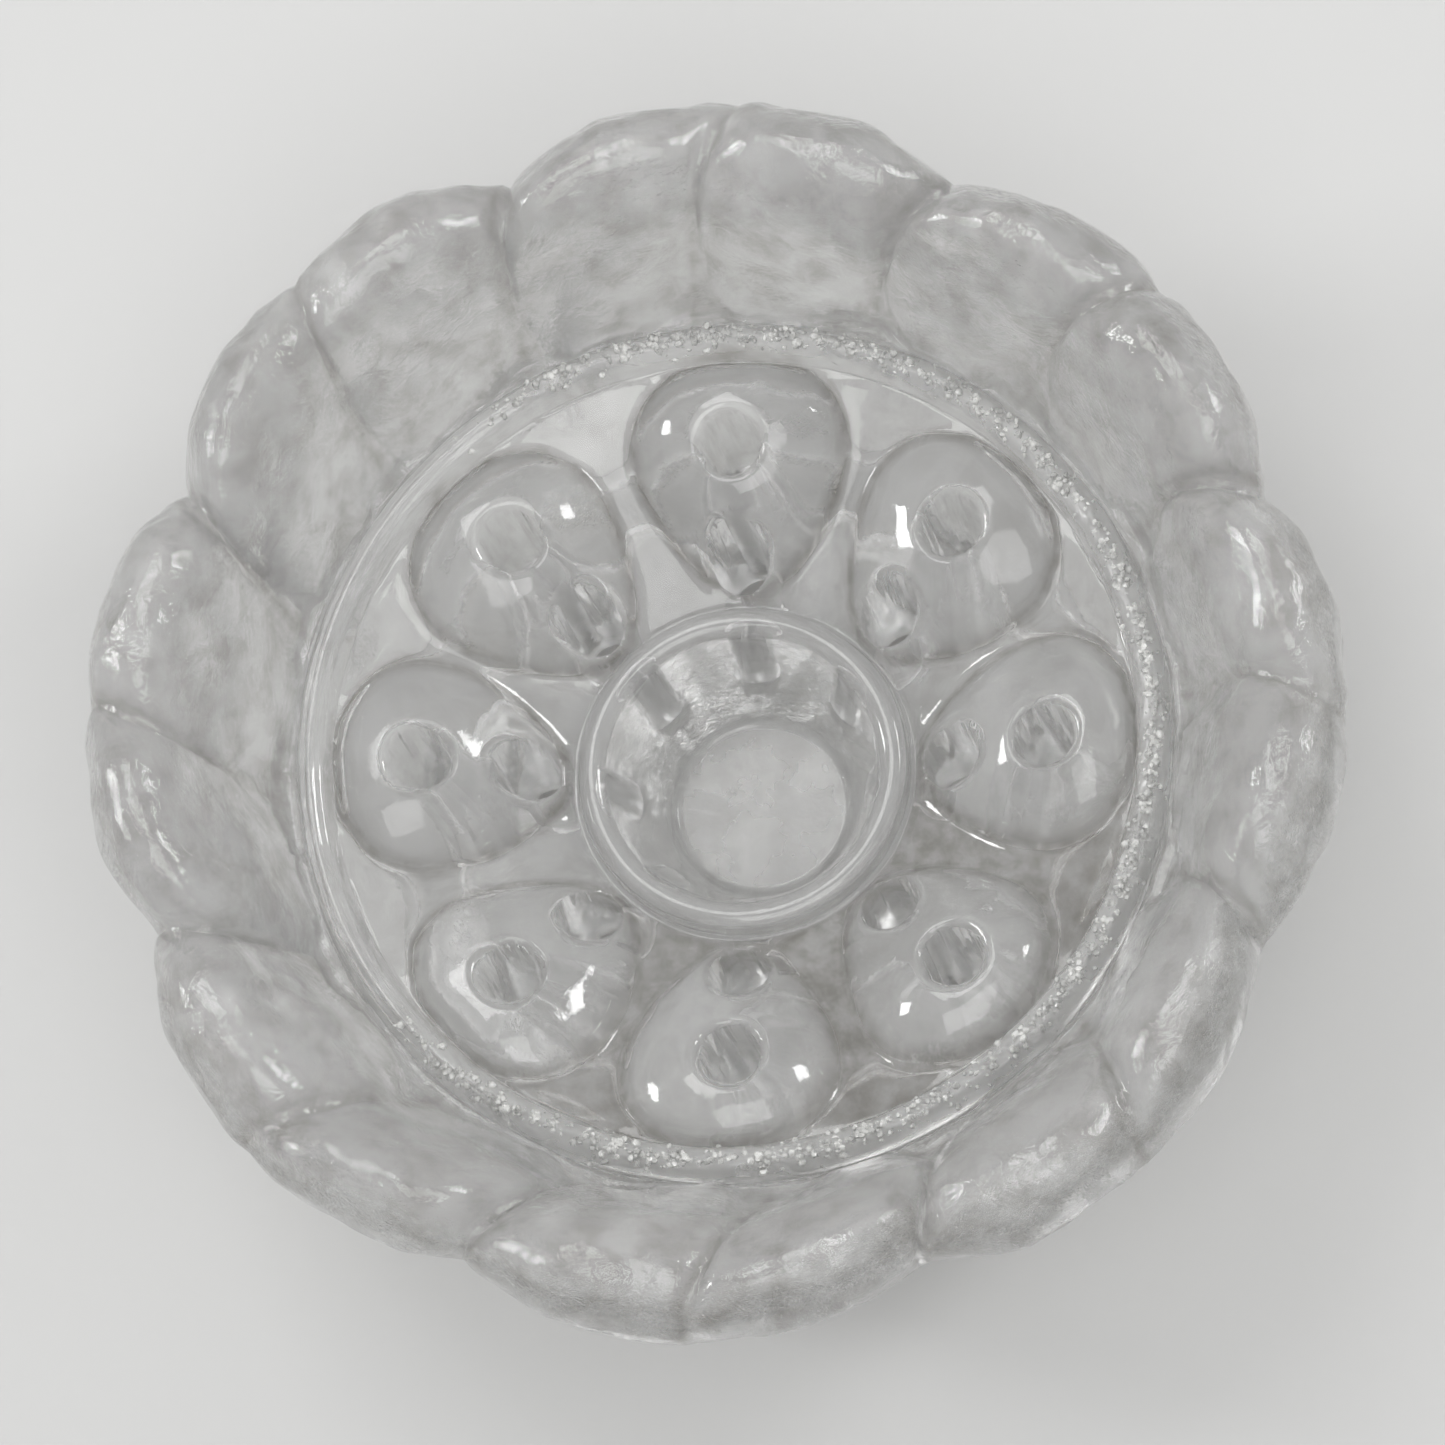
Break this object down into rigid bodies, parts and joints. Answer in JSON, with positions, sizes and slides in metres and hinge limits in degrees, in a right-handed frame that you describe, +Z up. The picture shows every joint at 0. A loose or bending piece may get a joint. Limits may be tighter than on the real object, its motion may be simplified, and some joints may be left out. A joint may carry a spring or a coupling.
{
  "type": "flower frog",
  "caption": "Round cast-glass flower frog shaped as an open lotus, with a ring of egg-shaped pods pierced by stem holes round a closed centre cup.",
  "frame": {"origin": "middle of the foot's resting plane, on the axis of the centre cup", "axes": "+Z up through the cup; +X through the middle of one pod and of the two stem holes in it"},
  "size_m": [0.127, 0.127, 0.0538],
  "materials": {
    "clear_glass": "fire-polished old clear glass with a faint grey cast, slightly wavy and hammered",
    "ground_glass": "rough glass, granular on the ring and ground flat on the foot"
  },
  "bodies": {
    "root": {"foot_ring": "ground_glass", "centre_cup": "clear_glass", "rough_ring": "ground_glass", "inner_pod_1": "clear_glass", "inner_pod_2": "clear_glass", "inner_pod_3": "clear_glass", "inner_pod_4": "clear_glass", "inner_pod_5": "clear_glass", "inner_pod_6": "clear_glass", "inner_pod_7": "clear_glass", "inner_pod_8": "clear_glass", "outer_petal_1": "clear_glass", "outer_petal_2": "clear_glass", "outer_petal_3": "clear_glass", "outer_petal_4": "clear_glass", "outer_petal_5": "clear_glass", "outer_petal_6": "clear_glass", "outer_petal_7": "clear_glass", "outer_petal_8": "clear_glass"}
  },
  "joints": []
}
